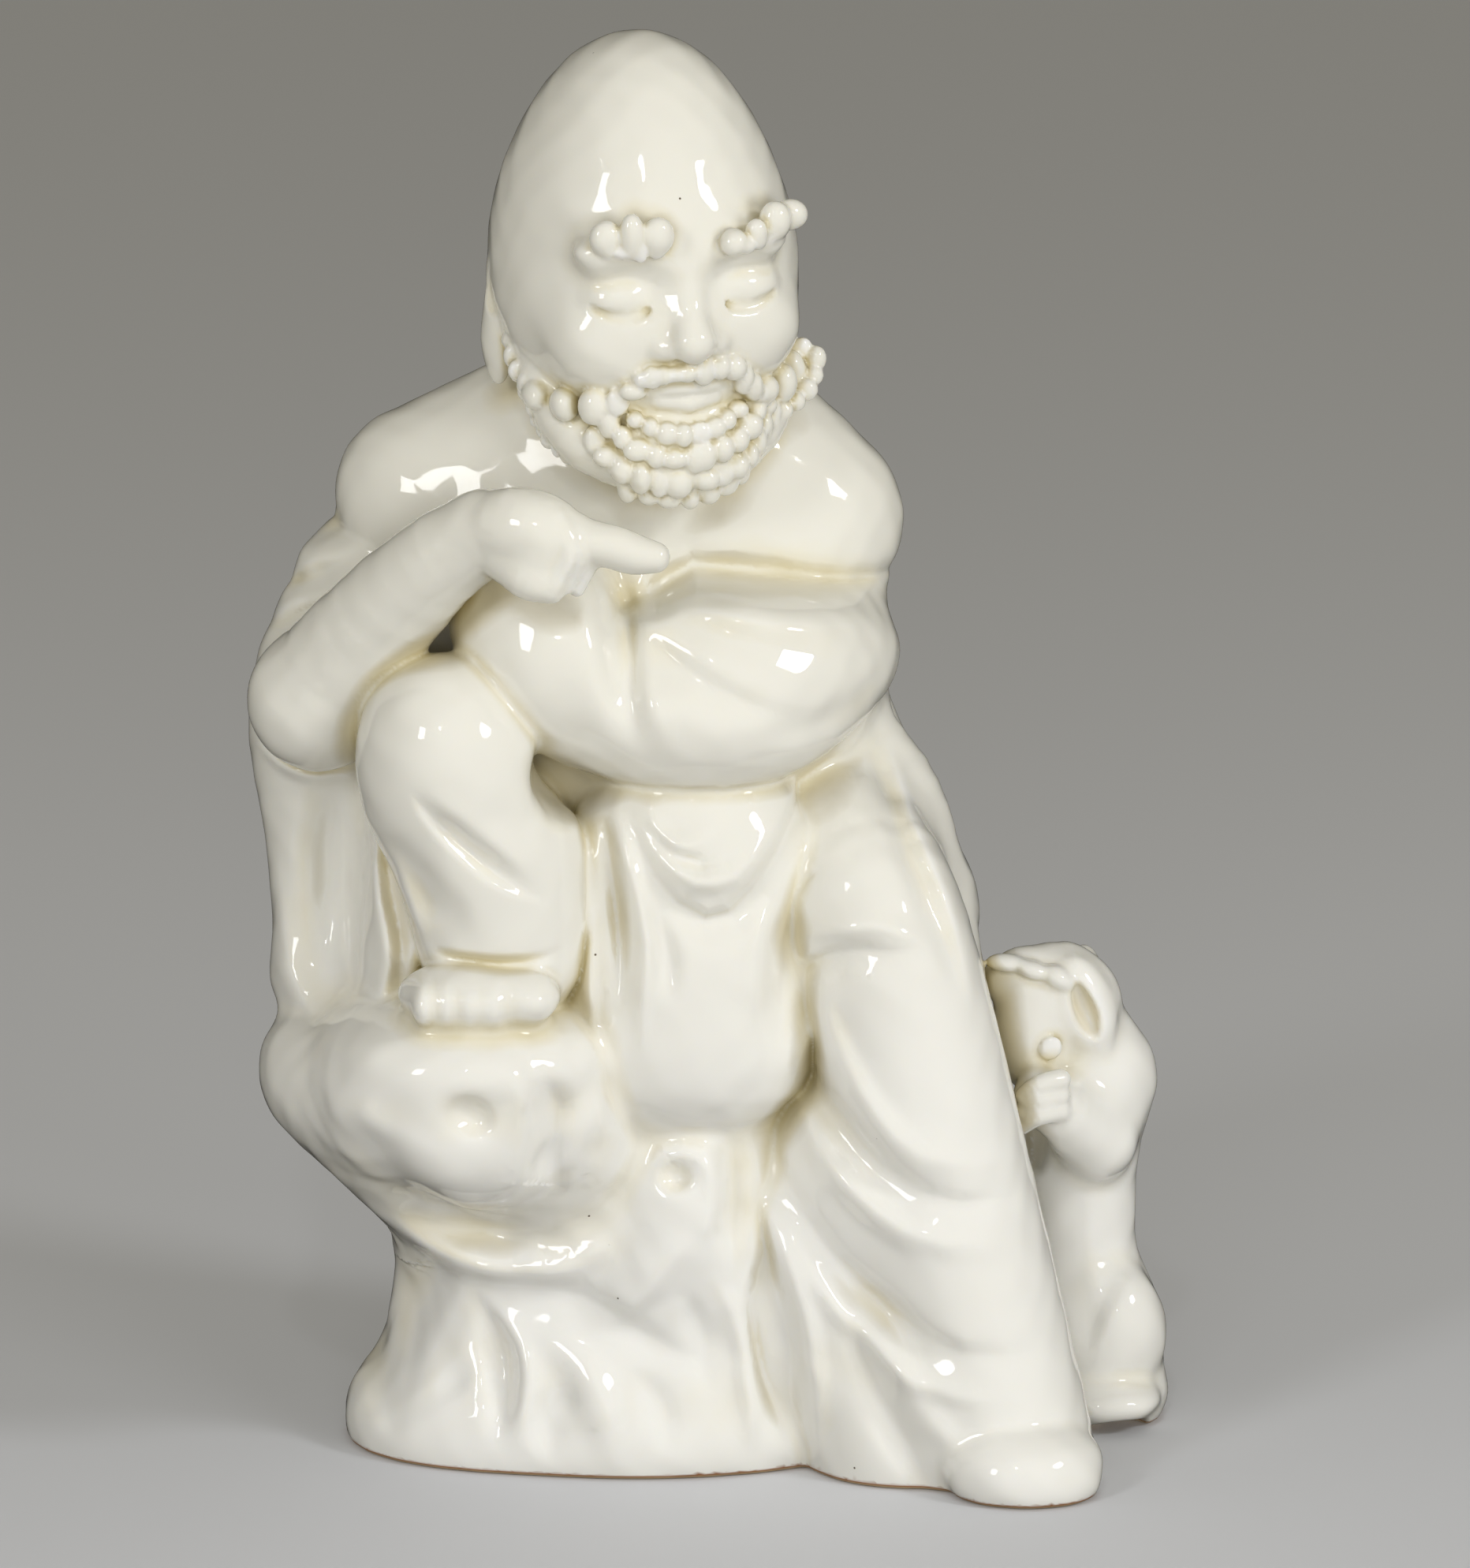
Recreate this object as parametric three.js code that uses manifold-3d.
// A seated holy man on a hollow garden rock with a cub at his knee, one piece of white glazed porcelain.
// Millimetres, +Z up. The figure faces -Y, and x runs to the viewer's right.
import * as THREE from "three";
import { mergeVertices } from "three/addons/utils/BufferGeometryUtils.js";
import Module from "manifold-3d";

// Driving dimensions
const HEAD_HALF = [22.6, 24.5, 32]; // half the width, depth and height of the head
const HEAD_AT = [-9.2, -9, 185.2];
const HEAD_TURN = 17; // degrees to the viewer's right
const HEAD_BOW = 9; // degrees down
const GLAZE = 1.4; // how far glaze fills the angle between two forms
const WALL = 5; // thickness of the porcelain at the foot
const HOLLOW_HEIGHT = 34; // how far the hollow reaches up inside the rock
const CELL = 1.5; // spacing of the samples that the surface is wrapped on
const TRIANGLES = 8900; // faces kept after thinning
const MIDDLE = [0.8, -4.7, 0]; // the middle of the foot, which becomes the origin

// Joints of the figure
const NECK = [-9, 5, 152];
const FAR_SHOULDER = [-43, 5, 145.5]; // on the viewer's left
const NEAR_SHOULDER = [15.5, 5, 142];
const ELBOW = [-57.8, -14, 118.3];
const WRIST = [-33, -34, 146.3];
const KNEE = [-39, -26, 113];
const RAISED_FOOT = [-32.4, -32, 74.2];
const HIP = [13.5, 3, 98];
const LOW_KNEE = [25.6, -19, 84];
const TOE = [47, -33.5, 5];
const CUB_SHOULDER = [59, 7, 53];
const CUB_HEAD = [53, 4, 65.6];

// The dents that fingers leave all over a hand finished surface
const MARK_HEIGHT = 0.13;
const MARK_PITCH = 0.6; // radians to the millimetre

// The box that the samples fill, and the faces kept inside the hollow
const LOW = [-78, -64, -6];
const HIGH = [78, 50, 226];
const HOLLOW_TRIANGLES = 700;

const clamp = (t) => Math.min(1, Math.max(0, t));
const smoothstep = (low, high, t) => {
  const s = clamp((t - low) / (high - low));
  return s * s * (3 - 2 * s);
};

// Each form is a function of a point: the distance to its surface, negative inside.

// Forms that meet within `soft` millimetres run into each other, as worked clay does.
function join(soft, ...forms) {
  return (x, y, z) => {
    let d = forms[0](x, y, z);
    for (let i = 1; i < forms.length; i++) {
      const e = forms[i](x, y, z);
      const h = Math.max(soft - Math.abs(d - e), 0);
      d = Math.min(d, e) - (h * h) / (4 * soft);
    }
    return d;
  };
}

function cut(soft, form, ...tools) {
  return (x, y, z) => {
    let d = form(x, y, z);
    for (const tool of tools) {
      const e = -tool(x, y, z);
      const h = Math.max(soft - Math.abs(d - e), 0);
      d = Math.max(d, e) + (h * h) / (4 * soft);
    }
    return d;
  };
}

const degrees = (angles) => new THREE.Euler(...angles.map(THREE.MathUtils.degToRad));

// The form moved to `at` and turned by angles about x, y and z.
function placed(form, at, turn) {
  const m = new THREE.Matrix4().makeRotationFromEuler(degrees(turn)).elements;
  return (x, y, z) => {
    const dx = x - at[0];
    const dy = y - at[1];
    const dz = z - at[2];
    return form(
      m[0] * dx + m[1] * dy + m[2] * dz,
      m[4] * dx + m[5] * dy + m[6] * dz,
      m[8] * dx + m[9] * dy + m[10] * dz,
    );
  };
}

function lump(at, [rx, ry, rz], turn = [0, 0, 0]) {
  const round = (x, y, z) => {
    const a = x / rx;
    const b = y / ry;
    const c = z / rz;
    const k = Math.sqrt(a * a + b * b + c * c);
    const l = Math.sqrt((a * a) / (rx * rx) + (b * b) / (ry * ry) + (c * c) / (rz * rz));
    return l > 0 ? (k * (k - 1)) / l : -Math.min(rx, ry, rz);
  };
  return placed(round, at, turn);
}

// A rod that tapers from radius r1 to r2.
function rod([ax, ay, az], [bx, by, bz], r1, r2) {
  const ux = bx - ax;
  const uy = by - ay;
  const uz = bz - az;
  const uu = ux * ux + uy * uy + uz * uz;
  return (x, y, z) => {
    const px = x - ax;
    const py = y - ay;
    const pz = z - az;
    const t = clamp((px * ux + py * uy + pz * uz) / uu);
    const qx = px - ux * t;
    const qy = py - uy * t;
    const qz = pz - uz * t;
    return Math.sqrt(qx * qx + qy * qy + qz * qz) - (r1 + (r2 - r1) * t);
  };
}

// A curve through points of three numbers each, sampled in equal steps.
function sampled(points, steps) {
  const corners = points.map((p) => new THREE.Vector3(...p));
  const curve = new THREE.CatmullRomCurve3(corners, false, "catmullrom", 0.5);
  return Array.from({ length: steps + 1 }, (_, i) => curve.getPoint(i / steps).toArray());
}

// A round form along a curve through [x, y, z, radius] stations.
function limb(...stations) {
  const steps = 4 * (stations.length - 1);
  const route = sampled(stations.map(([x, y, z]) => [x, y, z]), steps);
  const girth = sampled(stations.map(([, , , r]) => [r, 0, 0]), steps);
  const rods = route.slice(1).map((b, i) => rod(route[i], b, girth[i][0], girth[i + 1][0]));
  return (x, y, z) => {
    let d = Infinity;
    for (const part of rods) d = Math.min(d, part(x, y, z));
    return d;
  };
}

// A ridge (rise above zero) or a crease along a line drawn in x and z. It fades out towards its ends and only
// reaches the front of the figure, or with `back` only its back. `width` is its spread left of the line,
// and `fall` on its right.
function fold({ line, rise, width, fall = width, back = false, depth = 0, steps = 10 }) {
  const points = sampled(line.map(([x, z]) => [x, z, 0]), steps).map(([x, z]) => new THREE.Vector2(x, z));
  const reach = 2.6 * Math.max(width, fall);
  const box = new THREE.Box2().setFromPoints(points).expandByScalar(reach);
  const behind = (y) => smoothstep(depth - 6, depth + 6, y);
  return (x, y, z) => {
    if (x < box.min.x || x > box.max.x || z < box.min.y || z > box.max.y) return 0;
    let nearest = Infinity;
    let along = 0;
    let side = 1;
    for (let i = 0; i < steps; i++) {
      const a = points[i];
      const ux = points[i + 1].x - a.x;
      const uz = points[i + 1].y - a.y;
      const px = x - a.x;
      const pz = z - a.y;
      const t = clamp((px * ux + pz * uz) / (ux * ux + uz * uz));
      const qx = px - ux * t;
      const qz = pz - uz * t;
      const d = qx * qx + qz * qz;
      if (d < nearest) {
        nearest = d;
        along = (i + t) / steps;
        side = ux * pz - uz * px;
      }
    }
    const taper = smoothstep(0, 0.45, along) * smoothstep(0, 0.45, 1 - along);
    const spread = (side > 0 ? width : fall) * (0.6 + 0.4 * taper);
    return rise * taper * Math.exp(-nearest / (spread * spread)) * (back ? behind(y) : 1 - behind(y));
  };
}

// The soft dent of a fingertip, or with a depth below zero a low swelling.
const dent = ([ax, ay, az], depth, width) => (x, y, z) =>
  -depth * Math.exp(-((x - ax) ** 2 + (y - ay) ** 2 + (z - az) ** 2) / width ** 2);

const folded = (form, ...folds) => (x, y, z) => {
  let d = form(x, y, z);
  for (const f of folds) d -= f(x, y, z);
  return d;
};

// Beyond 8 mm from the ball around a form, the distance to that ball will do.
const within = (form, [cx, cy, cz], radius) => (x, y, z) => {
  const d = Math.hypot(x - cx, y - cy, z - cz) - radius;
  return d > 8 ? d : form(x, y, z);
};

function rock() {
  const column = join(
    12,
    lump([-11, 3, 3], [43.4, 32.2, 12.6]),
    lump([-37, -8, 3], [15.6, 14, 8.4]),
    lump([-10, 2.5, 20], [38.5, 29.5, 44]),
    lump([-8, 8, 54], [44, 25, 16]),
  );
  const shelf = join(
    8,
    lump([-37, -20.5, 56], [22.5, 23, 15], [0, 6, 0]),
    lump([-56, -5, 57], [12.8, 19, 11.5], [0, 34, 0]),
    lump([-44.8, -9, 44.8], [12.6, 16, 8.6], [0, 36, 0]),
    lump([-35, -22, 65.6], [21, 22.4, 9]),
  );
  const lobes = join(
    4,
    shelf,
    lump([-21.4, -19.5, 54.5], [8.6, 15.6, 13], [0, 12, 0]),
    lump([-3, -19, 42], [8, 10.4, 12]),
  );
  const dents = [
    dent([-35.4, -43, 60.4], 1.7, 3.2),
    dent([-34, -43, 59.4], 1.6, 1.7),
    dent([-23.4, -38, 52], 2, 2.2),
    dent([-4.4, -28, 46.6], 2.2, 2),
    dent([-21.8, -28, 11.7], 1, 2),
    dent([-39.5, -23, 13.8], 1, 2.4),
    dent([-49, -37, 66], -0.8, 4),
    dent([-36, -39, 52], -0.8, 6),
    dent([-17, -35, 58], -0.9, 4),
  ];
  const swirls = [
    fold({
      line: [[-30, 71], [-25, 66], [-22.6, 59], [-23.4, 52], [-22.6, 47], [-28, 42]],
      rise: -1.7,
      width: 2.6,
      fall: 3.6,
    }),
    fold({ line: [[-31, 70], [-27, 64], [-26, 56], [-28, 49], [-34, 44]], rise: 1, width: 2.8 }),
    fold({ line: [[-17.6, 62], [-13.6, 55], [-15, 47], [-21, 42.5]], rise: 0.8, width: 3 }),
    fold({
      line: [[-56, 64], [-51, 56], [-46, 49], [-40, 43], [-33, 38]],
      rise: -2,
      width: 3.4,
      fall: 4.6,
    }),
    fold({ line: [[-60, 64], [-53, 59], [-46, 55]], rise: 1, width: 3.4 }),
    fold({
      line: [[-54, 42], [-45, 36], [-35, 31.6], [-24, 31.4], [-16, 35.7], [-9, 42]],
      rise: 2.2,
      width: 3.2,
    }),
    fold({ line: [[-50, 44], [-41, 39], [-31, 36.4], [-22, 37.4]], rise: -1.4, width: 3 }),
    fold({
      line: [[-44, 32], [-34, 28.6], [-23, 28], [-15, 25], [-6, 19.6], [4, 15]],
      rise: -1.8,
      width: 2.6,
      fall: 5,
    }),
    fold({ line: [[-44, 34], [-41, 28], [-45, 19], [-47, 6]], rise: -1.8, width: 2.4, fall: 4 }),
    fold({ line: [[-37, 28], [-31.5, 20], [-30.4, 13], [-33, 2]], rise: -2.2, width: 1.9, fall: 3 }),
    fold({ line: [[-34, 27], [-28.4, 19], [-27.6, 11], [-29, 3]], rise: 1.2, width: 2.2 }),
    fold({ line: [[-24, 22], [-18, 16.6], [-15, 9], [-15, 1]], rise: 1.7, width: 2.6, fall: 4 }),
    fold({ line: [[-26, 14], [-24, 8], [-24, 1]], rise: -0.9, width: 2.6 }),
    fold({ line: [[-1, 39], [-7, 33], [-13, 25.6], [-19, 21]], rise: 1.5, width: 2.4, fall: 4 }),
    fold({ line: [[-12, 18], [-7, 11], [-6, 3]], rise: -1.1, width: 2.4 }),
    fold({
      line: [[-9, 46], [-6, 50.6], [-1, 50.4], [1.4, 46], [0.6, 40], [-3, 36]],
      rise: 1.3,
      width: 1.9,
    }),
    fold({ line: [[2.6, 58], [3.6, 48], [3.6, 39], [5, 29]], rise: -2.2, width: 2.6 }),
    fold({ line: [[0, 33], [4.6, 24], [6.6, 12], [7, 2]], rise: 1.4, width: 2 }),
    fold({ line: [[7, 36], [8.6, 24], [10, 14], [12, 2]], rise: -1.9, width: 2 }),
    fold({ line: [[-4, 31], [-1, 22], [0, 12]], rise: -1, width: 2.2 }),
    fold({ line: [[-52, 24], [-50, 12], [-47, 2]], rise: -1.2, width: 3, depth: 4 }),
    fold({ line: [[-38, 60], [-30, 52], [-12, 50], [4, 58]], rise: -2, width: 4, back: true }),
    fold({ line: [[-30, 40], [-20, 28], [-18, 10]], rise: 1.8, width: 5, back: true }),
    fold({ line: [[-5, 44], [4, 30], [2, 8]], rise: 1.8, width: 5, back: true }),
    fold({ line: [[18, 40], [22, 24], [20, 6]], rise: 1.6, width: 5, back: true }),
  ];
  return folded(join(14, column, lobes), ...swirls, ...dents);
}

function raisedLeg() {
  const [kx, ky, kz] = KNEE;
  const cloth = join(
    7,
    lump(KNEE, [13, 14, 13.6]),
    lump([kx + 3, ky, kz - 9], [14, 12.5, 14]),
    rod([kx + 6.4, ky + 0.5, kz - 20], [kx + 8, ky + 2, kz - 32], 11.4, 11),
    lump([kx + 9, ky + 3.4, kz - 24], [12.6, 12, 17]),
    rod([kx + 1, ky + 8, kz - 13], [-16, 8, 88], 9, 10.5),
  );
  const creases = [
    fold({ line: [[-44, 109], [-39, 103], [-31, 95.6], [-22, 90]], rise: -1.7, width: 2.4, fall: 1.2 }),
    fold({ line: [[-42, 109], [-36, 104], [-29, 98.6], [-22, 94]], rise: 0.6, width: 2.4 }),
    fold({ line: [[-48, 104], [-43.6, 96], [-39, 89], [-34, 84]], rise: -1.1, width: 3.2 }),
    fold({ line: [[-47, 98], [-44, 90], [-42, 82]], rise: 0.7, width: 1.6 }),
    fold({ line: [[-42, 83.4], [-36, 81.6], [-28, 81.4], [-20, 83.4]], rise: -1.5, width: 1.4 }),
  ];
  return folded(cloth, ...creases);
}

function raisedFoot() {
  const [fx, fy, fz] = RAISED_FOOT;
  const toes = [0, 1, 2, 3].map((i) => lump([fx - 9.8 + 3.4 * i, fy - 6.4, fz + 1.8], [2.1, 4, 3.3]));
  const instep = lump([fx - 1.6, fy - 0.4, fz + 2.2], [12, 8.8, 5]);
  const bigToe = lump([fx + 6.8, fy - 4.4, fz + 2.4], [4.7, 5.4, 3.7]);
  return join(1.5, instep, ...toes, bigToe);
}

function seatedLeg() {
  const [kx, ky, kz] = LOW_KNEE;
  const cloth = join(
    8,
    limb(
      [...HIP, 13.6],
      [kx - 4.4, ky + 8, kz + 8, 12.2],
      [kx, ky, kz, 13],
      [30.4, -21, 67, 13.4],
      [34.8, -22.5, 46, 14],
      [40.4, -25, 24, 13.6],
      [45, -27, 6, 13.2],
    ),
    limb([23, 4, 108, 6], [28.5, 3, 98, 7.5], [31, 1, 86.7, 8.3], [33.3, -3, 75, 8.5], [36, -8, 59, 8]),
    lump([29, -12, 6], [16.5, 23, 26]),
    lump([20, -13, 34], [16, 17, 32], [0, 14, 0]),
  );
  const swooshes = [
    fold({ line: [[14, 66], [19, 57], [26, 49], [36, 45], [50, 45]], rise: -2.1, width: 2.2, fall: 3.6 }),
    fold({ line: [[16, 80], [19.6, 68], [25, 58], [34, 51.6], [50, 50]], rise: 1.6, width: 2.2, fall: 3 }),
    fold({ line: [[10, 64], [15, 54], [22, 46], [32, 39.6], [50, 38]], rise: 1.7, width: 2.2, fall: 3 }),
    fold({
      line: [[6, 58], [12, 45], [19, 34], [28, 26], [38, 22], [53, 22]],
      rise: -2.5,
      width: 2.4,
      fall: 4,
    }),
    fold({ line: [[9, 46], [15, 34], [23, 24], [34, 16.5], [50, 15]], rise: 1.6, width: 2.4 }),
    fold({ line: [[1, 50], [6.4, 38], [10.5, 28], [12.5, 16], [12.5, -2]], rise: -2.2, width: 2, fall: 3 }),
    fold({ line: [[4, 52], [10, 38], [14.5, 26], [16.6, 12], [16, 0]], rise: 1.1, width: 1.9 }),
    fold({ line: [[20, 34], [24, 18], [30, 6], [35, -2]], rise: -1.6, width: 2.4 }),
    fold({ line: [[24, 30], [30, 16], [38, 7], [44, 2]], rise: 0.8, width: 2.4 }),
    fold({ line: [[12, 75], [17, 80], [23, 82.4], [31, 82.4]], rise: -1.8, width: 1.5, fall: 3 }),
    fold({ line: [[13, 83], [20, 86], [27, 86.4], [35, 82]], rise: 1.3, width: 1.9 }),
    fold({ line: [[18.6, 80], [17, 72], [18.6, 62], [23, 55]], rise: 1, width: 2.4 }),
    fold({ line: [[24, 110], [27, 102], [31, 93], [35, 84], [39, 72]], rise: -1.1, width: 1.9 }),
    fold({ line: [[26, 112], [30, 102], [34.6, 93], [38, 83], [41, 70]], rise: 0.9, width: 1.7 }),
  ];
  return folded(cloth, ...swooshes);
}

function shoe() {
  const [tx, ty, tz] = TOE;
  return join(4, lump(TOE, [12.2, 12, 6.6]), lump([tx + 1, ty - 3.6, tz - 3], [10.6, 8.5, 5.2]));
}

function lap() {
  const seat = lump([-0.6, 4, 80.6], [42.2, 26, 26]);
  const panel = join(
    6,
    lump([-2, -16, 92], [19.6, 16, 20]),
    lump([-2.4, -16.5, 74], [19.6, 17, 19]),
    lump([-2.6, -17, 63.5], [18, 15.5, 12.5]),
  );
  const drape = [
    fold({
      line: [[-14, 109], [-9.6, 97], [-5.2, 90], [1, 86.6], [6.4, 90], [11, 97], [16, 107], [18.6, 113]],
      rise: -2.3,
      width: 1.5,
      fall: 3,
    }),
    fold({ line: [[-10, 106], [-6.6, 99], [-1.6, 93.6], [5.4, 95], [10.4, 103]], rise: 1.7, width: 2 }),
    fold({ line: [[-10, 102.6], [-6, 98], [-1, 95.6], [2, 97]], rise: -1.6, width: 1.3 }),
    fold({ line: [[-7, 100], [-3, 98.6], [2, 100.6]], rise: 0.9, width: 1.7 }),
    fold({ line: [[-20, 106], [-18.4, 96], [-17.6, 84], [-17.6, 73], [-14, 62]], rise: 1.5, width: 1.5 }),
    fold({ line: [[-15.8, 104], [-14, 93], [-12.8, 81], [-13, 72]], rise: -2, width: 1.5 }),
    fold({ line: [[-14, 105], [-11.4, 95], [-9, 84], [-9.6, 74], [-10, 66]], rise: 1.6, width: 1.6 }),
    fold({ line: [[-9, 92], [-5.8, 82], [-5.6, 74]], rise: -1, width: 1.8 }),
    fold({
      line: [[15.6, 104], [13.4, 92], [11.6, 80], [10.8, 71], [11.6, 63]],
      rise: -1.9,
      width: 3,
      fall: 3.4,
    }),
    fold({ line: [[9, 92], [7.6, 80], [7.4, 70]], rise: 0.8, width: 2.2 }),
    fold({
      line: [[18.6, 114], [18, 99], [17.4, 86], [16.8, 76], [15.8, 68], [12, 59]],
      rise: 1.8,
      width: 1.5,
    }),
  ];
  return join(4, seat, folded(panel, ...drape));
}

function torso() {
  const bare = join(
    9,
    lump([-12, 4, 136], [36, 21, 26]),
    limb([...NEAR_SHOULDER, 14], [2, 6, 155, 14]),
    limb([...FAR_SHOULDER, 13.4], [-26, 6, 152.6, 14]),
    rod(NECK, [-9.5, -3, 170], 17, 14),
    lump([-5, 7, 110], [33, 24, 34]),
  );
  const breast = [
    fold({ line: [[-9, 138], [-4, 142.6], [1, 149], [6, 157]], rise: -1.4, width: 3 }),
    fold({ line: [[-2, 138], [6, 143], [14, 145.6]], rise: 0.8, width: 4 }),
  ];
  return folded(bare, ...breast);
}

function pouch() {
  const cloth = join(
    7,
    lump([-2, -17, 118], [24, 19, 14]),
    lump([-22, -21, 125.5], [14, 14, 14]),
    lump([-28, -17, 131], [10, 11, 8.6]),
    lump([14.2, -8, 123.4], [14.8, 17, 11.2]),
    lump([4, -17, 127], [17, 14.6, 8.6], [0, 4, 0]),
  );
  const creases = [
    fold({
      line: [[-16, 143], [-13.4, 137], [-12, 129], [-11.4, 121], [-9.4, 113]],
      rise: -2.3,
      width: 2.2,
      fall: 3.6,
    }),
    fold({ line: [[-18, 140], [-16.6, 128], [-14, 117], [-9, 108]], rise: 0.9, width: 3.4 }),
    fold({
      line: [[-12, 131.6], [-7, 128], [-1, 124], [8, 119.6], [20, 117]],
      rise: -1.1,
      width: 2,
      fall: 3.4,
    }),
    fold({ line: [[-9, 134], [0, 131.4], [12, 128], [26, 124]], rise: -0.8, width: 1.8, fall: 3 }),
    fold({ line: [[-10, 126], [-7.6, 120], [-5, 113]], rise: 0.9, width: 2.4 }),
    fold({ line: [[2, 115], [12, 115.6], [20, 118], [28, 124]], rise: -0.7, width: 2.4 }),
  ];
  return folded(cloth, ...creases);
}

// Chest and pouch, with the edge of the robe between them.
function body() {
  const edge = [
    fold({
      line: [[-19, 130], [-11.4, 133], [-7, 134.4], [-1.9, 137.6], [9.5, 136], [25.6, 134], [34, 134]],
      rise: -2.6,
      width: 2.8,
      fall: 1.5,
      depth: 8,
    }),
    fold({ line: [[-10, 130], [0, 133.6], [12, 132], [32, 129]], rise: 0.9, width: 2.4, depth: 8 }),
  ];
  return folded(join(6, torso(), pouch()), ...edge);
}

function robe() {
  const sleeve = join(
    7,
    limb([-49.5, 6, 131, 13.4], [-56, 4, 113, 13.8], [-55, 3, 94, 12.6], [-53.6, 2, 76, 12.2]),
    lump([-53.6, 2, 70], [12, 12, 7]),
    lump([-30, 14, 108], [26, 20, 40]),
    lump([-46, -10, 84], [8, 13, 19], [0, 8, 0]),
  );
  const mantle = join(
    10,
    lump([-12, 14, 130], [38, 21, 26]),
    lump([-7, 15, 96], [39.2, 20, 34]),
    lump([-6, 15, 66], [42, 19, 17]),
  );
  const creases = [
    fold({
      line: [[-52, 107], [-50.6, 98], [-49, 88], [-47.6, 79], [-50, 71], [-57, 68], [-63, 71]],
      rise: 2,
      width: 1.9,
      depth: 8,
    }),
    fold({ line: [[-48.6, 100], [-47.6, 91], [-46, 82], [-46.6, 74]], rise: -1.4, width: 1.2, depth: 8 }),
    fold({ line: [[-69, 109], [-64, 106], [-57, 104.6], [-50, 106]], rise: 1.5, width: 1.4, depth: 8 }),
    fold({
      line: [[-47, 98], [-45.4, 90], [-43.6, 82], [-45, 73], [-50, 68]],
      rise: 1.9,
      width: 1.7,
      depth: 8,
    }),
    fold({
      line: [[-66, 96], [-65, 84], [-63.6, 74], [-58, 66.4], [-51, 67.6], [-47.6, 74]],
      rise: 1.1,
      width: 2,
      depth: 8,
    }),
    fold({ line: [[-44, 92], [-42, 84], [-41, 76], [-44, 69]], rise: -1.2, width: 1.3, depth: 8 }),
    fold({ line: [[-66, 137], [-58, 139.6], [-50, 143.4], [-42, 148]], rise: -2, width: 1.8, depth: 8 }),
    fold({ line: [[-66, 130], [-59, 133.6], [-52, 138]], rise: -1.5, width: 1.6, depth: 8 }),
    fold({ line: [[-68, 124], [-61, 128], [-54, 133]], rise: -1.2, width: 1.5, depth: 8 }),
    fold({ line: [[-40, 150], [-22, 128], [6, 110], [28, 100]], rise: 1.6, width: 6, fall: 3, back: true }),
    fold({ line: [[-46, 128], [-30, 106], [-4, 88], [26, 80]], rise: 1.6, width: 6, fall: 3, back: true }),
    fold({ line: [[-46, 104], [-34, 86], [-12, 72], [14, 68]], rise: 1.6, width: 6, fall: 3, back: true }),
    fold({ line: [[14, 140], [20, 122], [30, 108]], rise: 1.4, width: 5, fall: 3, back: true }),
  ];
  const opening = lump([-57.2, -16, 88.6], [5.2, 11.6, 17], [0, 3, 0]);
  return cut(3.6, folded(join(6, sleeve, mantle), ...creases), opening);
}

// The bare forearm lies on the raised knee.
function forearm() {
  const elbow = lump([-58.4, -13, 116.6], [10.4, 10.4, 10.2]);
  return join(
    3,
    elbow,
    limb([...ELBOW, 10], [-51.2, -20, 128, 8.7], [-40.3, -29.4, 140.6, 7.2], [...WRIST, 6.4]),
  );
}

function hand() {
  const palm = limb(
    [...WRIST, 6],
    [-28, -38, 147.8, 6],
    [-23.6, -39.5, 147, 5.8],
    [-20.6, -40, 145.6, 3.8],
  );
  const heel = lump([-24.4, -41, 142.8], [5, 3.6, 4.4]);
  const thumb = limb([-31, -37, 144, 3.4], [-26.6, -41.4, 140.8, 2.8], [-22.8, -42.4, 139.6, 2.3]);
  const pointing = limb(
    [-18.4, -40.4, 146.4, 3.3],
    [-14, -41, 145.5, 3.2],
    [-10.6, -41, 144.4, 3],
    [-7.6, -41, 143.9, 2.3],
  );
  const fingers = [];
  for (let i = 0; i < 3; i++) {
    const x = -20.2 + 1.4 * i;
    const y = -43.9 + 1.4 * i;
    const z = 150 - 0.7 * i;
    fingers.push(limb(
      [x - 1.6, y + 1.4, z, 1.1],
      [x + 0.4, y, z - 4.6, 1.3],
      [x - 1.6, y + 0.4, z - 9.4, 1.2],
    ));
  }
  return join(1, join(1.6, palm, heel, thumb, pointing), ...fingers);
}

const mirrored = (form) => (x, y, z) => form(Math.abs(x), y, z);

// Pellets of clay set side by side along a line on the face.
function row(line, count, radius, growth = 1, tall = 1.08) {
  return sampled(line, count - 1).map((at, i) => {
    const larger = 1 + ((growth - 1) * i) / (count - 1);
    const r = radius * larger * (1 + 0.12 * Math.sin(7.1 * i + 2 * radius));
    return lump(at, [r, r * 0.9, r * tall]);
  });
}

function bothSides(line, ...sizes) {
  const other = line.map(([x, y, z]) => [-x, y, z]);
  return [...row(line, ...sizes), ...row(other, ...sizes)];
}

// The head in its own frame: its centre at the origin, the face towards -y.

function skull() {
  const [hx, hy, hz] = HEAD_HALF;
  const dome = join(
    12,
    lump([0, 2.5, 0.8], [hx - 0.2, hy - 0.4, 24]),
    lump([0, 3, hz - 14.8], [12.4, 14, 14.2]),
    lump([0, -3, -11], [18.6, 19, 18]),
  );
  const cheeks = mirrored(lump([11, -14.6, -8.8], [7.8, 7.4, 7]));
  const forehead = mirrored(lump([8.6, -18.6, 5], [7.6, 3.6, 3], [0, -8, 0]));
  const mouth = lump([0, -15.6, -17], [8.6, 5.6, 5.6]);
  return join(4, dome, cheeks, forehead, mouth);
}

function ears() {
  const shell = join(
    2,
    lump([19.8, 3.6, -5.4], [2.8, 5.2, 7], [0, 4, -14]),
    lump([21.7, 4.6, -13.4], [2.3, 3.8, 7.6]),
  );
  return mirrored(cut(1, shell, lump([23, 2.2, -4.8], [1.8, 2.8, 4.2])));
}

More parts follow.
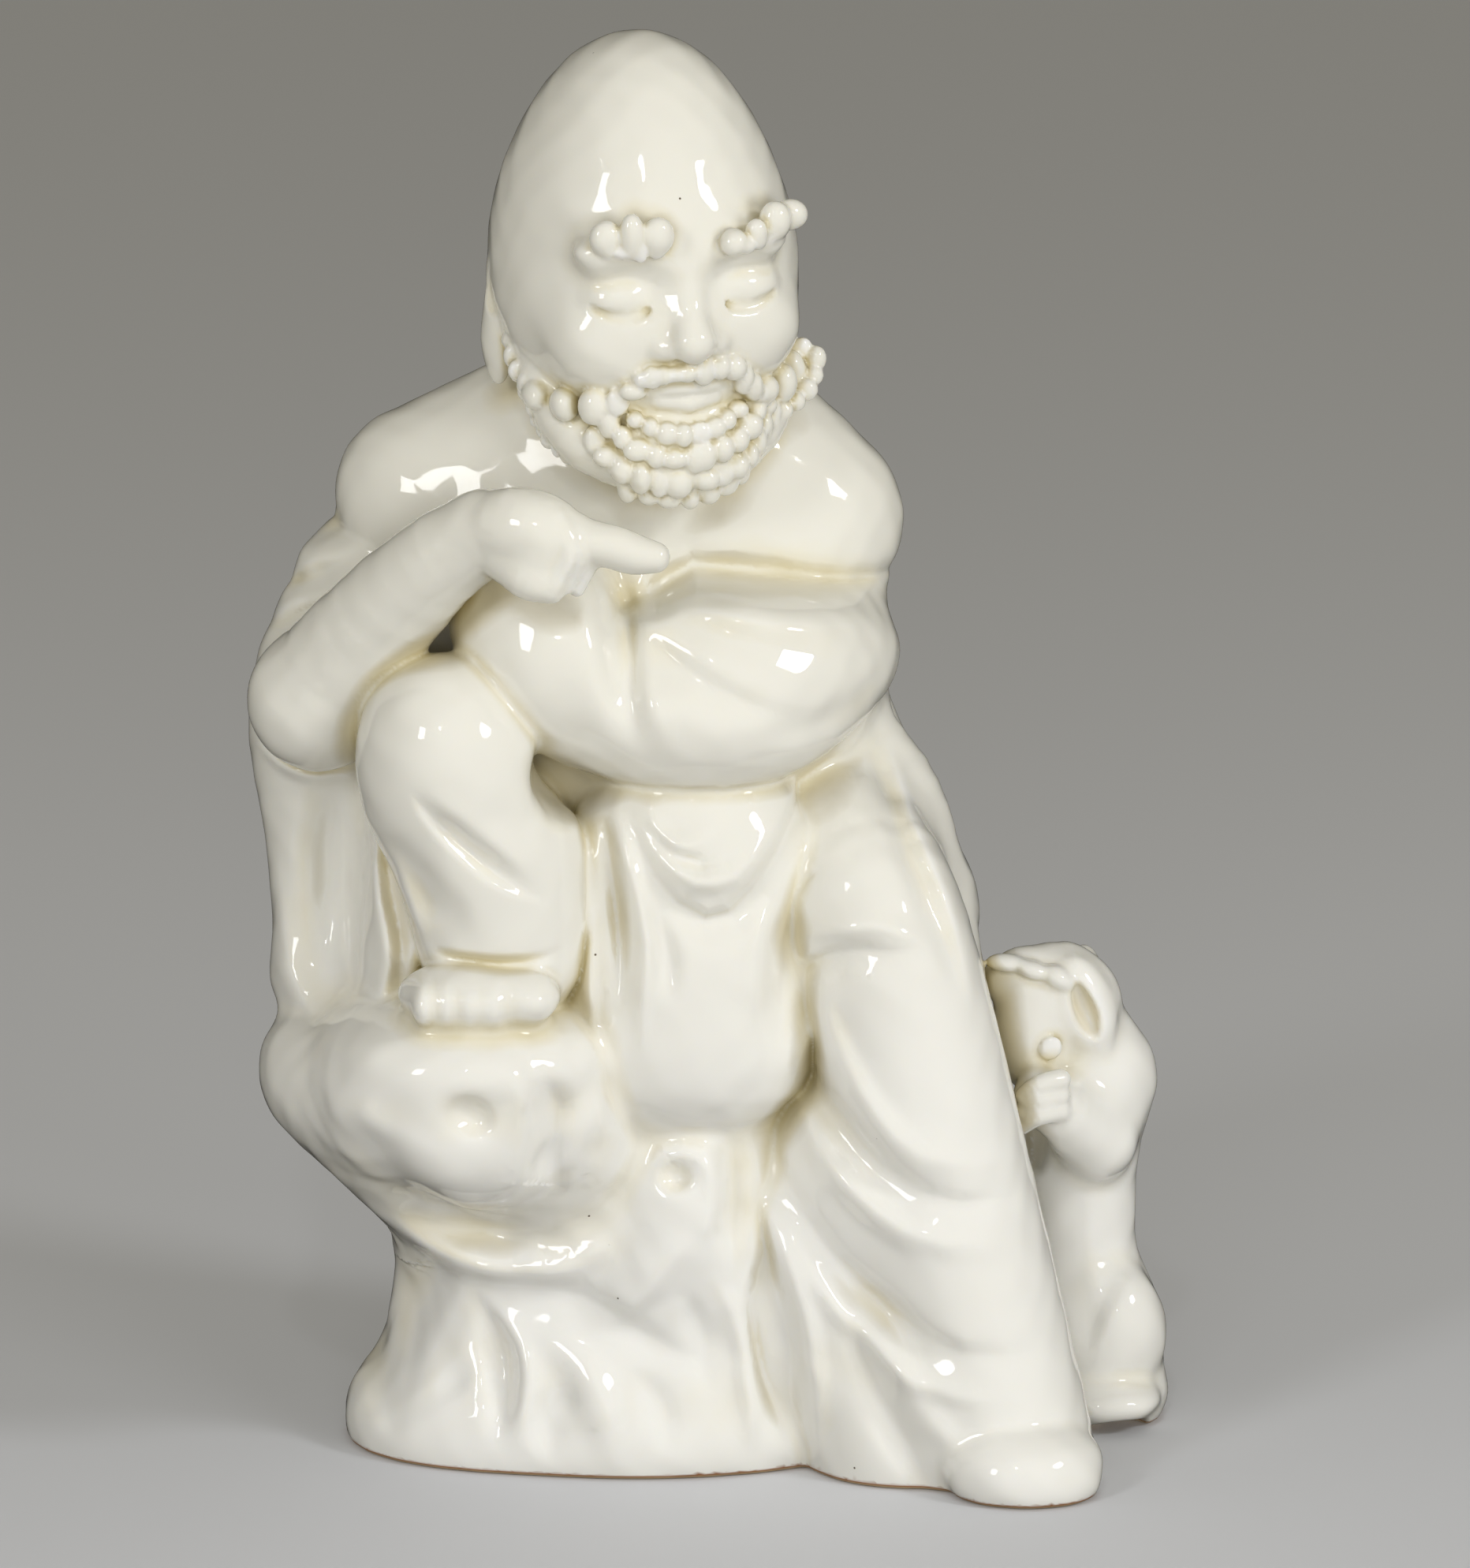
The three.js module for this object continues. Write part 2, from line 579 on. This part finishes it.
// Half closed eyes: a socket, a full lid and the line between the lids.
function eyesInto(face) {
  const sockets = mirrored(lump([9, -25, 0.6], [6.6, 4.6, 3.8], [0, 4, 0]));
  const lids = mirrored(lump([9.2, -16.9, -1.5], [6, 5, 3.9], [0, 3, 0]));
  const lines = mirrored(
    join(
      0.3,
      limb(
        [6, -21.7, -2.9, 0.25],
        [7.6, -22.4, -3.3, 0.55],
        [10.6, -22.1, -3.4, 0.6],
        [14, -20, -2.4, 0.3],
      ),
      limb([5, -21.6, 1, 0.2], [9, -22.1, 2, 0.4], [13.4, -20, 1, 0.2]),
    ),
  );
  return cut(0.9, join(1, cut(3, face, sockets), lids), lines);
}

function nose() {
  const ridge = limb([0, -18.6, 2.4, 2.2], [0, -21.8, -2.6, 2.6], [0, -24.6, -7.4, 3.3]);
  const wings = lump([3.7, -22.2, -8.4], [2.5, 3, 2.3]);
  const nostrils = lump([1.8, -24.4, -10.8], [1, 1.2, 1.2]);
  return mirrored(cut(0.6, join(1.6, ridge, wings), nostrils));
}

function lips() {
  const upper = limb([0, -22.7, -15, 1.2], [3.2, -22.2, -14.7, 1.3], [6.4, -20.4, -15.6, 0.8]);
  const lower = limb([0, -22.4, -17.4, 1.6], [3.8, -21.6, -17, 1.2]);
  return mirrored(join(0.6, upper, lower));
}

function brows() {
  const left = row([[-12.2, -21.2, 8.6], [-8.6, -22.6, 9], [-4.8, -22.9, 8.8]], 3, 2.3, 1, 1.3);
  const right = row(
    [[6.8, -22.9, 6.8], [10.2, -22.4, 7.8], [13.6, -20.8, 8.8], [16.8, -18.4, 8.8]],
    4,
    2,
    1.2,
    1.2,
  );
  const crumbs = row([[-12, -21.6, 6.8], [-8.2, -22.8, 6.6], [-5, -23, 6.8]], 4, 1.3);
  const more = row([[8.6, -23, 6.2], [11.6, -22, 6.8], [14.6, -20.2, 7.2]], 4, 1.3);
  return join(0.6, ...left, ...right, ...crumbs, ...more);
}

function beard() {
  const jaw = mirrored(
    join(
      2,
      limb([18.2, -1, -9, 2.4], [17.2, -7.4, -17.8, 3.8], [12, -13.6, -25, 5], [0, -17.4, -28, 6]),
      lump([0, -18.8, -20.2], [8.4, 4, 2.8]),
      lump([0, -18.6, -23.4], [10.4, 5.5, 4.4]),
      lump([0, -18.2, -27.4], [12, 5.9, 4.8]),
      lump([9.4, -17.4, -18.4], [3, 3, 2.6]),
    ),
  );
  const sideburns = bothSides([[20.6, 0.8, -10.4], [21, -3, -14.6], [20.6, -6.8, -17.4]], 5, 1.6);
  const cheeks = bothSides([[19.8, -9.8, -18.4], [17, -14.4, -18.6], [13, -18.6, -17.8]], 3, 2.6);
  const corners = bothSides([[10.4, -20.8, -16.8], [8.4, -22, -15]], 2, 1.8);
  const behind = bothSides([[20.6, -1.4, -15], [19.6, -5, -20.4], [17, -10, -24.4]], 6, 1.5);
  const underJaw = bothSides(
    [[18.6, -4, -22.6], [17.4, -9, -26], [14.6, -13, -27.8], [11.4, -15.6, -29]],
    9,
    1.3,
  );
  const moustache = row([[-7.4, -22.8, -13], [-4, -24, -12.3], [-0.8, -24.4, -12.1]], 5, 1.4);
  const sweep = row([[1.8, -24.2, -12.1], [6, -23.4, -12.1], [9, -22, -14.6], [11.6, -20, -17.8]], 6, 1.8);
  const coil = [
    [12, -19, -19],
    [15.6, -15.6, -22.6],
    [19.6, -13.2, -22],
    [22.8, -11, -19.8],
    [23.8, -9, -17],
    [21.8, -8.4, -15.6],
  ];
  const scroll = row(coil, 9, 1.6);
  const tufts = [
    row(
      [
        [-8, -21.4, -19.6],
        [-4.4, -23.2, -21.4],
        [0, -24, -22],
        [4.4, -23.2, -21.2],
        [8, -21.4, -19.6],
      ],
      8,
      1.6,
    ),
    row([[-11.4, -19.6, -20.4], [-8.4, -22.2, -23.6], [-4, -23.8, -25.2], [0.4, -24.2, -25.6]], 6, 1.9),
    row([[11.4, -19.6, -20.6], [8.6, -22, -23.4], [4.6, -23.6, -24.8], [2, -24.2, -25.4]], 5, 1.8),
    row([[-12.8, -18, -23.4], [-10.4, -20.8, -26.8], [-6.2, -22.6, -28.8], [-1.8, -23.2, -29.4]], 6, 2),
    row([[12.8, -18, -23.6], [10.4, -20.6, -26.8], [6.6, -22.4, -28.4], [2.4, -23.2, -29.2]], 6, 1.9),
    row(
      [
        [-8.6, -19.6, -31],
        [-4, -21.2, -32],
        [0.6, -21.6, -32.4],
        [5.4, -20.6, -31.6],
        [9, -18.6, -30.4],
      ],
      7,
      1.9,
    ),
  ];
  const rows = [
    ...sideburns,
    ...cheeks,
    ...corners,
    ...behind,
    ...underJaw,
    ...moustache,
    ...sweep,
    ...scroll,
  ];
  return join(0.5, jaw, ...rows, ...tufts.flat());
}

function head() {
  const face = join(1.2, eyesInto(skull()), nose(), lips());
  return join(0.7, face, ears(), brows(), beard());
}

function cub() {
  const [sx, sy, sz] = CUB_SHOULDER;
  const [hx, hy, hz] = CUB_HEAD;
  const body = join(
    6,
    lump([60, 9, 12], [11, 14, 12]),
    limb([57, 10, 20, 9.4], [57.3, 9, 38, 9], [sx, sy, sz, 9.4]),
    rod([sx - 1, sy, sz + 2], [hx + 2, hy + 3, hz - 2], 9, 8),
  );
  const ground = join(
    5,
    lump([59, 8, 5], [11.6, 13, 8]),
    lump([61.5, 7, 2.6], [8.6, 11.5, 5]),
    lump([46, 8, 4], [16, 15, 7]),
  );
  const haunch = join(
    2,
    lump([63, 3, 15.5], [7.6, 8, 10], [0, -12, 0]),
    lump([61, -2, 4.6], [8.6, 7, 3.6]),
  );
  const foreleg = limb([50.6, -7.4, 54.2, 4], [54.6, -5, 50.6, 5], [60, -0.6, 45.2, 5.6]);
  const digits = [];
  for (let i = 0; i < 3; i++) {
    const low = 2.4 * i;
    digits.push(limb(
      [53.6, -10, 57.4 - low, 1.7],
      [50.4, -11.4, 57 - low, 1.6],
      [48, -10.8, 55.2 - low, 1.3],
    ));
  }
  const skull = join(
    3,
    lump([hx + 2, hy, hz + 0.4], [8.6, 8, 8.6]),
    limb(
      [hx, hy - 1, hz + 3.6, 6.4],
      [hx - 4.6, hy - 2, hz + 5.2, 4.6],
      [hx - 7.6, hy - 2.6, hz + 5.2, 3.3],
    ),
    lump([hx - 3, hy - 2.4, hz - 3], [6.4, 7, 10]),
    lump([hx + 5, -1.4, hz + 1.2], [3.3, 2.8, 7.6], [0, -20, 0]),
    lump([hx + 5, 11, hz + 2], [3, 3, 6]),
  );
  const hollows = [
    lump([hx + 4.6, -4.8, hz + 1.2], [1.7, 3.4, 4.8], [0, -21, 0]),
    lump([50, 0, 45.5], [2.5, 9, 6.5]),
  ];
  const petals = [
    lump([hx - 7.4, -1.8, hz + 8.2], [3, 2.4, 1.4], [0, 4, 0]),
    lump([hx - 3.4, -3, hz + 7.4], [2.8, 2.2, 1.4], [0, 16, 0]),
    lump([hx + 0.6, -3.4, hz + 6.2], [2.6, 2.2, 1.7], [0, 34, 0]),
  ];
  const boss = lump([hx - 0.6, -6.2, hz - 4.2], [1.6, 0.9, 1.9], [0, 30, 0]);
  const creases = [
    fold({ line: [[52, 58], [57, 53], [62, 46]], rise: 0.8, width: 2 }),
    fold({ line: [[58.5, 37], [59, 28], [60, 20]], rise: 0.9, width: 2.2 }),
    fold({ line: [[68, 26], [63, 24], [59, 17], [58, 9]], rise: -1.2, width: 1.6, fall: 3 }),
  ];
  const mass = folded(join(2, body, ground, haunch, skull), ...creases);
  return join(0.8, cut(1, join(4, mass, foreleg), ...hollows), ...petals, boss, ...digits);
}

// The soft dents that fingers leave all over a hand finished surface.
function marked(form) {
  return (x, y, z) => {
    const along = Math.sin(x * MARK_PITCH + Math.sin(z * 0.33));
    const deep = Math.sin(y * MARK_PITCH + 1.3 + Math.sin(x * 0.27));
    const up = Math.sin(z * MARK_PITCH + Math.sin(y * 0.31));
    return form(x, y, z) + MARK_HEIGHT * along * deep * up;
  };
}

function figure() {
  const turnedHead = placed(head(), HEAD_AT, [HEAD_BOW, 0, HEAD_TURN]);
  const shade = lump([-20.4, -27, 108.6], [5.8, 16, 6.4], [0, -24, 0]);
  return join(
    GLAZE,
    cut(
      3,
      join(
        1,
        join(3, within(rock(), [-14, 0, 30], 66), lap(), robe(), within(raisedFoot(), RAISED_FOOT, 20)),
        raisedLeg(),
      ),
      shade,
    ),
    body(),
    seatedLeg(),
    within(shoe(), TOE, 18),
    within(turnedHead, HEAD_AT, 46),
    within(join(1, forearm(), hand()), [-38, -28, 133], 38),
    within(cub(), [57, 6, 38], 48),
  );
}

const below = (x, y, z) => z + 3;

// The hollow that the foot rim surrounds, inside the skin by the thickness of the wall.
function hollow() {
  const skin = marked(figure());
  const room = (x, y, z) => Math.max(skin(x, y, z) + WALL, z - HOLLOW_HEIGHT);
  const notch = lump([63.5, -6, 0], [5.5, 9, 2.6]);
  return cut(0.1, join(1, room, notch), below);
}

// The six tetrahedra of a cube, as corners numbered by bits x, y and z, all turned the same way.
const TETRAHEDRA = [
  [0, 1, 3, 7],
  [0, 2, 6, 7],
  [0, 4, 5, 7],
  [0, 3, 2, 7],
  [0, 5, 1, 7],
  [0, 6, 4, 7],
];
const EVEN = [
  [0, 1, 2, 3],
  [1, 0, 3, 2],
  [2, 0, 1, 3],
  [3, 0, 2, 1],
];
const PAIRS = [
  [0, 1, 2, 3],
  [0, 2, 3, 1],
  [0, 3, 1, 2],
  [1, 2, 0, 3],
  [1, 3, 2, 0],
  [2, 3, 0, 1],
];

// Samples a form on a grid and wraps its surface in triangles. Blocks far from the surface are skipped.
function wrap(form, low, high, cell) {
  const block = 4;
  const n = [0, 1, 2].map((k) => Math.ceil((high[k] - low[k]) / cell / block) * block + 1);
  const at = (i, j, k) => i + n[0] * (j + n[1] * k);
  const value = new Float32Array(n[0] * n[1] * n[2]).fill(1e3);
  const half = (block * cell) / 2;
  const blocks = [];
  for (let k = 0; k < n[2] - 1; k += block)
    for (let j = 0; j < n[1] - 1; j += block)
      for (let i = 0; i < n[0] - 1; i += block) {
        const d = form(low[0] + i * cell + half, low[1] + j * cell + half, low[2] + k * cell + half);
        if (Math.abs(d) < half * 3.2) blocks.push([i, j, k]);
      }
  for (const [bi, bj, bk] of blocks)
    for (let k = bk; k <= bk + block; k++)
      for (let j = bj; j <= bj + block; j++)
        for (let i = bi; i <= bi + block; i++) {
          const c = at(i, j, k);
          if (value[c] !== 1e3) continue;
          value[c] = form(low[0] + i * cell, low[1] + j * cell, low[2] + k * cell) || 1e-6;
        }
  const positions = [];
  const triangles = [];
  const made = new Map();
  const corner = (cube, bits) => cube + (bits & 1) + n[0] * (((bits >> 1) & 1) + n[1] * (bits >> 2));
  const place = (c, axis) => {
    const steps = [c % n[0], Math.floor(c / n[0]) % n[1], Math.floor(c / n[0] / n[1])];
    return low[axis] + cell * steps[axis];
  };
  const crossing = (cube, a, b) => {
    const from = Math.min(a, b);
    const key = corner(cube, from) * 8 + (a ^ b);
    if (!made.has(key)) {
      const p = corner(cube, a);
      const q = corner(cube, b);
      const t = Math.min(0.94, Math.max(0.06, value[p] / (value[p] - value[q])));
      made.set(key, positions.length / 3);
      for (let axis = 0; axis < 3; axis++) positions.push(place(p, axis) * (1 - t) + place(q, axis) * t);
    }
    return made.get(key);
  };
  for (const [bi, bj, bk] of blocks)
    for (let k = bk; k < bk + block; k++)
      for (let j = bj; j < bj + block; j++)
        for (let i = bi; i < bi + block; i++) {
          const cube = at(i, j, k);
          let inside = 0;
          for (let bits = 0; bits < 8; bits++) if (value[corner(cube, bits)] < 0) inside++;
          if (inside === 0 || inside === 8) continue;
          for (const tetra of TETRAHEDRA) {
            const inner = [0, 1, 2, 3].filter((v) => value[corner(cube, tetra[v])] < 0);
            const edge = (p, q) => crossing(cube, tetra[p], tetra[q]);
            if (inner.length === 1) {
              const [a, b, c, d] = EVEN[inner[0]];
              triangles.push(edge(a, b), edge(a, c), edge(a, d));
            } else if (inner.length === 3) {
              const [a, b, c, d] = EVEN[[0, 1, 2, 3].find((v) => !inner.includes(v))];
              triangles.push(edge(a, b), edge(a, d), edge(a, c));
            } else if (inner.length === 2) {
              const [a, b, c, d] = PAIRS.find((p) => p[0] === inner[0] && p[1] === inner[1]);
              const quad = [edge(a, c), edge(a, d), edge(b, d), edge(b, c)];
              triangles.push(quad[0], quad[1], quad[2], quad[0], quad[2], quad[3]);
            }
          }
        }
  return { positions, triangles };
}

// Collapses the edges that change the shape least until `target` triangles are left.
function thin({ positions, triangles }, target) {
  const count = positions.length / 3;
  const p = Float64Array.from(positions);
  const quadric = new Float64Array(count * 10);
  const around = Array.from({ length: count }, () => []);
  const alive = new Uint8Array(triangles.length / 3).fill(1);
  const stamp = new Uint32Array(count);
  const t = Uint32Array.from(triangles);
  const normal = (a, b, c, out) => {
    const ux = b[0] - a[0];
    const uy = b[1] - a[1];
    const uz = b[2] - a[2];
    const vx = c[0] - a[0];
    const vy = c[1] - a[1];
    const vz = c[2] - a[2];
    out[0] = uy * vz - uz * vy;
    out[1] = uz * vx - ux * vz;
    out[2] = ux * vy - uy * vx;
    return Math.sqrt(out[0] * out[0] + out[1] * out[1] + out[2] * out[2]);
  };
  const point = (v) => [p[3 * v], p[3 * v + 1], p[3 * v + 2]];
  const N = [0, 0, 0];
  for (let f = 0; f < alive.length; f++) {
    const [a, b, c] = [t[3 * f], t[3 * f + 1], t[3 * f + 2]];
    const A = point(a);
    const size = normal(A, point(b), point(c), N) || 1e-12;
    const [x, y, z] = N.map((s) => s / size);
    const w = -(x * A[0] + y * A[1] + z * A[2]);
    const area = size / 2;
    const q = [x * x, x * y, x * z, x * w, y * y, y * z, y * w, z * z, z * w, w * w];
    for (const v of [a, b, c]) {
      around[v].push(f);
      for (let i = 0; i < 10; i++) quadric[10 * v + i] += q[i] * area;
    }
  }
  const error = (q, x, y, z) =>
    q[0] * x * x + 2 * q[1] * x * y + 2 * q[2] * x * z + 2 * q[3] * x + q[4] * y * y + 2 * q[5] * y * z +
    2 * q[6] * y + q[7] * z * z + 2 * q[8] * z + q[9];
  const solve = new THREE.Matrix3();
  const best = new THREE.Vector3();
  // The place on the edge or beside it that lies closest to the faces it replaces.
  const plan = (a, b) => {
    const q = new Float64Array(10);
    for (let i = 0; i < 10; i++) q[i] = quadric[10 * a + i] + quadric[10 * b + i];
    const A = point(a);
    const B = point(b);
    const length = Math.hypot(A[0] - B[0], A[1] - B[1], A[2] - B[2]);
    const mid = A.map((s, i) => (s + B[i]) / 2);
    const options = [A, B, mid];
    solve.set(q[0], q[1], q[2], q[1], q[4], q[5], q[2], q[5], q[7]);
    if (Math.abs(solve.determinant()) > 1e-7 * (q[0] + q[4] + q[7]) ** 3) {
      best.set(-q[3], -q[6], -q[8]).applyMatrix3(solve.invert());
      const away = Math.hypot(best.x - mid[0], best.y - mid[1], best.z - mid[2]);
      if (away < 2 * length) options.push(best.toArray());
    }
    let chosen = null;
    let least = Infinity;
    for (const o of options) {
      const e = error(q, o[0], o[1], o[2]);
      if (e < least) {
        least = e;
        chosen = o;
      }
    }
    return { cost: Math.max(least, 0) + 1e-6 * length * length, chosen };
  };
  const heap = [];
  const swap = (i, j) => ([heap[i], heap[j]] = [heap[j], heap[i]]);
  const push = (item) => {
    let i = heap.push(item) - 1;
    while (i > 0 && heap[(i - 1) >> 1].cost > heap[i].cost) {
      swap(i, (i - 1) >> 1);
      i = (i - 1) >> 1;
    }
  };
  const pop = () => {
    const top = heap[0];
    const last = heap.pop();
    if (heap.length) {
      heap[0] = last;
      for (let i = 0; ; ) {
        let least = i;
        for (const j of [2 * i + 1, 2 * i + 2])
          if (j < heap.length && heap[j].cost < heap[least].cost) least = j;
        if (least === i) break;
        swap(i, least);
        i = least;
      }
    }
    return top;
  };
  const offer = (a, b) => push({ ...plan(a, b), a, b, sa: stamp[a], sb: stamp[b] });
  const ring = (v) => {
    const out = new Set();
    for (const f of around[v])
      if (alive[f]) for (const u of [t[3 * f], t[3 * f + 1], t[3 * f + 2]]) if (u !== v) out.add(u);
    return out;
  };
  for (let f = 0; f < alive.length; f++)
    for (let i = 0; i < 3; i++) {
      const a = t[3 * f + i];
      const b = t[3 * f + ((i + 1) % 3)];
      if (a < b) offer(a, b);
    }
  const flips = (v, other, to) => {
    const M = [0, 0, 0];
    for (const f of around[v]) {
      if (!alive[f]) continue;
      const corners = [t[3 * f], t[3 * f + 1], t[3 * f + 2]];
      if (corners.includes(other)) continue;
      const before = normal(...corners.map(point), N);
      const after = normal(...corners.map((c) => (c === v ? to : point(c))), M);
      const dot = N[0] * M[0] + N[1] * M[1] + N[2] * M[2];
      if (after < 1e-3 || dot < 0.3 * before * after) return true;
    }
    return false;
  };
  let left = alive.length;
  while (left > target && heap.length) {
    const { a, b, sa, sb, chosen } = pop();
    if (stamp[a] !== sa || stamp[b] !== sb) continue;
    const ringA = ring(a);
    const ringB = ring(b);
    let shared = 0;
    for (const v of ringA) if (ringB.has(v)) shared++;
    if (!ringA.has(b) || shared !== 2 || flips(a, b, chosen) || flips(b, a, chosen)) continue;
    for (const f of around[b]) {
      if (!alive[f]) continue;
      const at = 3 * f;
      if (t[at] === a || t[at + 1] === a || t[at + 2] === a) {
        alive[f] = 0;
        left--;
        continue;
      }
      for (let i = 0; i < 3; i++) if (t[at + i] === b) t[at + i] = a;
      around[a].push(f);
    }
    around[a] = around[a].filter((f) => alive[f]);
    around[b] = [];
    for (let i = 0; i < 3; i++) p[3 * a + i] = chosen[i];
    for (let i = 0; i < 10; i++) quadric[10 * a + i] += quadric[10 * b + i];
    stamp[a]++;
    stamp[b] = 0xffffffff;
    for (const v of ring(a)) offer(a, v);
  }
  const kept = [];
  for (let f = 0; f < alive.length; f++) if (alive[f]) kept.push(t[3 * f], t[3 * f + 1], t[3 * f + 2]);
  return { positions: p, triangles: kept };
}

function geometryOf({ positions, triangles }) {
  return new THREE.BufferGeometry()
    .setAttribute("position", new THREE.BufferAttribute(Float32Array.from(positions), 3))
    .setIndex(new THREE.BufferAttribute(Uint32Array.from(triangles), 1));
}

const wasm = await Module();
wasm.setup();

function solidOf(geometry) {
  const numbers = {
    numProp: 3,
    vertProperties: geometry.attributes.position.array,
    triVerts: Uint32Array.from(geometry.index.array),
  };
  return new wasm.Manifold(new wasm.Mesh(numbers));
}

// A box with one vertex at each corner.
function block(width, depth, height) {
  const box = new THREE.BoxGeometry(width, depth, height);
  box.deleteAttribute("normal");
  box.deleteAttribute("uv");
  return mergeVertices(box);
}

function geometryOfSolid(solid) {
  const mesh = solid.getMesh();
  const flat = geometryOf({ positions: mesh.vertProperties, triangles: mesh.triVerts });
  flat.computeVertexNormals();
  return flat;
}

const outside = thin(wrap(cut(0.1, marked(figure()), below), LOW, HIGH, CELL), TRIANGLES);
const hollowTop = [HIGH[0], HIGH[1], HOLLOW_HEIGHT + 6];
const inside = thin(wrap(hollow(), LOW, hollowTop, 2 * CELL), HOLLOW_TRIANGLES);
const floor = block(200, 200, 20).translate(0, 0, -10);
const standing = solidOf(geometryOf(outside)).subtract(solidOf(floor)).subtract(solidOf(geometryOf(inside)));

const porcelain = new THREE.MeshStandardMaterial({ color: 0xeeebdc, roughness: 0.12, metalness: 0 });
const luohan = new THREE.Mesh(geometryOfSolid(standing), porcelain);
luohan.name = "porcelain_figure";
luohan.position.set(-MIDDLE[0], -MIDDLE[1], -MIDDLE[2]);

const group = new THREE.Group();
group.add(luohan);

export default group;
